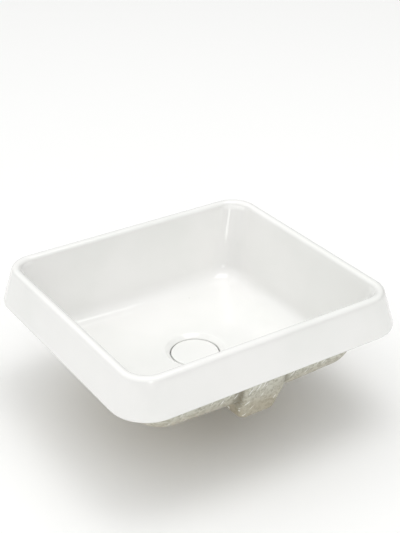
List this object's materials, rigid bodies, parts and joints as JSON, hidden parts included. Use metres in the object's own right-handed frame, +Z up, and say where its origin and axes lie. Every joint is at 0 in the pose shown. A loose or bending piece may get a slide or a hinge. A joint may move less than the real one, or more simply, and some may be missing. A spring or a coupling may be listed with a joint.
{
  "type": "inset basin",
  "caption": "Rectangular inset washbasin with a leaning skirt that stands on the worktop, a cored overflow duct and a push waste.",
  "frame": {"origin": "centre of the plane on which the skirt's lower edge sits, which is the worktop's top; the outlet's axis passes through it", "axes": "+Z up, -Y towards the front where the user stands, +X to the user's right"},
  "size_m": [0.4468, 0.4092, 0.208],
  "materials": {
    "casting_glaze": "gloss",
    "cap_glaze": "gloss",
    "waste_chrome": "polished",
    "gasket_rubber": "matte",
    "cone_rubber": "matte",
    "seal_rubber": "matte",
    "slip_plastic": "matte",
    "nut_brass": "satin",
    "insert_brass": "satin",
    "stem_brass": "satin",
    "housing_plastic": "matte",
    "rotor_plastic": "matte",
    "plug_plastic": "matte",
    "clip_steel": "satin",
    "spring_steel": "satin"
  },
  "bodies": {
    "basin": {"basin_body": "casting_glaze", "flange_gasket": "gasket_rubber", "waste_body": "waste_chrome", "cone_washer": "cone_rubber", "slip_washer": "slip_plastic", "back_nut": "nut_brass", "latch_housing": "housing_plastic", "latch_plug": "plug_plastic", "latch_spring": "spring_steel"},
    "cap": {"waste_cap": "cap_glaze", "cap_seal": "seal_rubber", "cap_insert": "insert_brass", "cap_stem": "stem_brass", "stem_clip": "clip_steel"},
    "rotor": {"latch_rotor": "rotor_plastic"}
  },
  "joints": [
    {"name": "cap_lift", "type": "slide", "parent": "basin", "child": "cap", "axis": [0, 0, 1], "range_m": [0, 0.0085], "deforming": ["latch_spring"]},
    {"name": "rotor_turn", "type": "hinge", "parent": "cap", "child": "rotor", "pos_m": [0, 0, -0.1155], "axis": [0, 0, 1], "range_deg": [0, 45]}
  ],
  "couplings": [
    {"joint": "rotor_turn", "follows": "cap_lift", "rad_per_m": 92.4}
  ]
}
